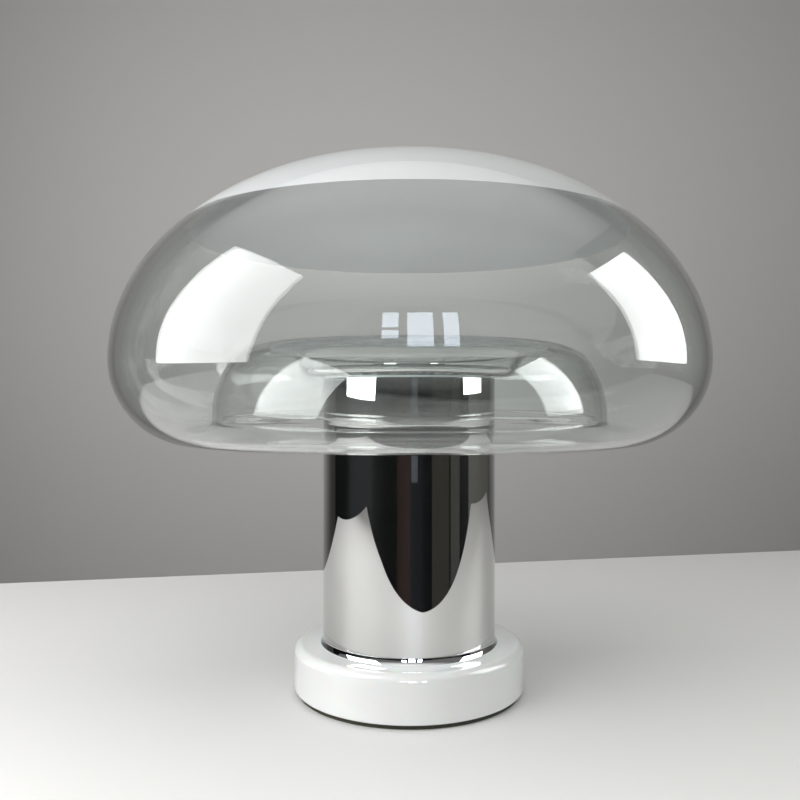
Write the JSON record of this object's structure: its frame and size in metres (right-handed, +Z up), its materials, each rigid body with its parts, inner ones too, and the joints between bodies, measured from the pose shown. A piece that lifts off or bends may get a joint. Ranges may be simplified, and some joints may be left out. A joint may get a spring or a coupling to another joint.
{
  "type": "mushroom table lamp",
  "caption": "Blown-glass mushroom shade with an opal crown and an inner bell, resting on a polished steel column with a white glass base.",
  "frame": {"origin": "middle of the felt's underside, on the surface the lamp stands on", "axes": "+Z up along the lamp's axis of revolution; +Y to the back, where the cable outlet is; -Y faces the picture's camera"},
  "size_m": [0.4208, 0.4208, 0.3853],
  "materials": {
    "clear_glass": "clear blown glass, fire polished",
    "opal_crown": "opal white layer in clear glass, glossy",
    "opal_base": "opal white glass, glossy",
    "polished_steel": "mirror polished stainless steel",
    "chrome_trim": "polished chrome plate",
    "felt": "dense wool felt",
    "zinc_steel": "zinc plated steel",
    "cast_iron": "rough casting, black dip paint",
    "black_rubber": "moulded rubber",
    "silicone": "translucent silicone",
    "ceramic": "unglazed steatite",
    "brass": "plain turned brass",
    "reflector_glass": "pressed glass with a metal mirror coat",
    "lamp_glass": "frosted glass",
    "lead_silicone": "silicone insulation"
  },
  "bodies": {
    "stand": {"base_felt": "felt", "base_plate": "zinc_steel", "base_glass": "opal_base", "cable_grommet": "black_rubber", "base_ballast": "cast_iron", "base_gasket": "black_rubber", "foot_ring": "chrome_trim", "column_tube": "polished_steel", "column_bulkhead": "zinc_steel", "column_cap": "polished_steel", "shade_gasket": "silicone", "lamp_collar": "chrome_trim", "collar_nut": "zinc_steel", "tie_rod": "zinc_steel", "tie_nuts": "zinc_steel", "tie_washer": "zinc_steel", "lampholder_body": "ceramic", "lampholder_contacts": "brass", "lampholder_bridge": "zinc_steel", "bridge_screws": "zinc_steel", "holder_screws": "zinc_steel", "terminal_block": "ceramic", "terminal_sleeves": "brass", "terminal_screws": "zinc_steel", "block_screw": "zinc_steel", "earth_screw": "brass", "lampholder_leads": "lead_silicone"},
    "shade": {"shade_top": "clear_glass", "shade_shoulder": "clear_glass", "shade_side": "clear_glass", "shade_fold": "clear_glass", "shade_bell": "clear_glass", "shade_dish": "clear_glass", "shade_floor": "clear_glass", "shade_crown": "opal_crown"},
    "lamp": {"lamp_reflector": "reflector_glass", "lamp_front_glass": "lamp_glass", "lamp_neck": "ceramic", "lamp_pins": "zinc_steel"}
  },
  "joints": [
    {"name": "shade_lift", "type": "slide", "parent": "stand", "child": "shade", "axis": [0, 0, 1], "range_m": [0, 0.12]},
    {"name": "lamp_twist", "type": "hinge", "parent": "stand", "child": "lamp", "pos_m": [0, 0, 0.2], "axis": [0, 0, 1], "range_deg": [0, 25]}
  ]
}
